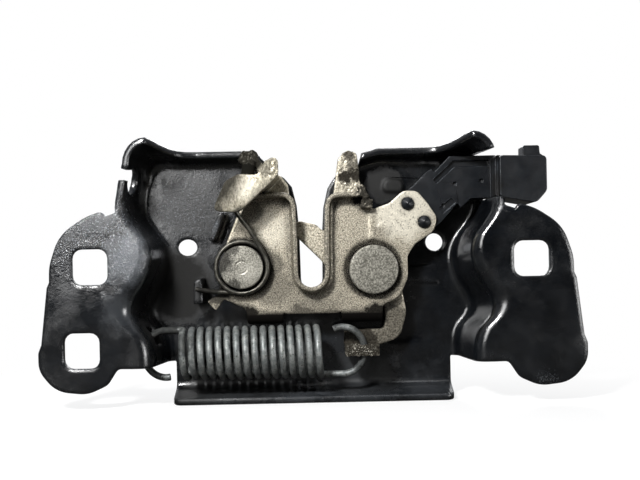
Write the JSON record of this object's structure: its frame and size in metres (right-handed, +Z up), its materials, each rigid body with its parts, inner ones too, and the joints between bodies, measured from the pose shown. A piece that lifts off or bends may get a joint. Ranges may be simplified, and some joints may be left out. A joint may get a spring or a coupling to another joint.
{
  "type": "bonnet latch",
  "caption": "Bonnet latch with a sprung claw across a striker slot, a cable-released pawl and a position switch, on a winged pressed plate.",
  "frame": {"origin": "centre line of the striker slot, level of the wings' back faces, near pivot height", "axes": "+X across the latch toward the switch, +Y away from the viewer and into the mounting panel, +Z up toward the slot mouth"},
  "size_m": [0.2032, 0.031, 0.1013],
  "materials": {
    "black_paint": "black dip paint, scuffed at the bends",
    "zinc_plating": "yellow-tinged zinc plating, grainy",
    "plated_lever": "worn plated steel",
    "rivet_steel": "dull plated rivet steel",
    "sleeve_bronze": "sintered bronze",
    "galvanised_wire": "galvanised spring wire, dull",
    "spring_steel": "dark spring steel",
    "black_plastic": "moulded glass-filled nylon",
    "lid_plastic": "moulded plastic",
    "plunger_nylon": "natural nylon",
    "tinned_copper": "tinned copper alloy",
    "gaiter_rubber": "soft rubber"
  },
  "bodies": {
    "frame": {"base_plate": "black_paint", "cover_plate": "zinc_plating", "claw_rivet": "rivet_steel", "pawl_rivet": "rivet_steel", "claw_spacer": "rivet_steel", "pawl_spacer": "rivet_steel", "claw_washer": "sleeve_bronze", "pawl_washer": "sleeve_bronze", "claw_bush": "sleeve_bronze", "pawl_bush": "sleeve_bronze", "claw_spring": "galvanised_wire", "pawl_spring": "spring_steel", "switch_housing": "black_plastic", "switch_lid": "lid_plastic", "plunger_spring": "spring_steel", "plunger_seal": "gaiter_rubber", "terminal_upper": "tinned_copper", "terminal_lower": "tinned_copper"},
    "claw": {"claw": "plated_lever"},
    "pawl": {"pawl": "plated_lever"},
    "plunger": {"switch_plunger": "plunger_nylon", "contact_blade": "tinned_copper"}
  },
  "joints": [
    {"name": "claw_pivot", "type": "hinge", "parent": "frame", "child": "claw", "pos_m": [0.0239, 0.0176, -0.001], "axis": [0, -1, 0], "range_deg": [0, 27], "stiffness_Nm_per_rad": 1.6, "deforming": ["claw_spring"]},
    {"name": "pawl_pivot", "type": "hinge", "parent": "frame", "child": "pawl", "pos_m": [-0.0266, 0.0176, 0.0008], "axis": [0, -1, 0], "range_deg": [0, 12], "stiffness_Nm_per_rad": 0.6, "deforming": ["pawl_spring"]},
    {"name": "plunger_slide", "type": "slide", "parent": "frame", "child": "plunger", "axis": [0.7547, 0, 0.6561], "range_m": [0, 0.0015], "stiffness_N_per_m": 400, "deforming": ["plunger_spring"]}
  ]
}
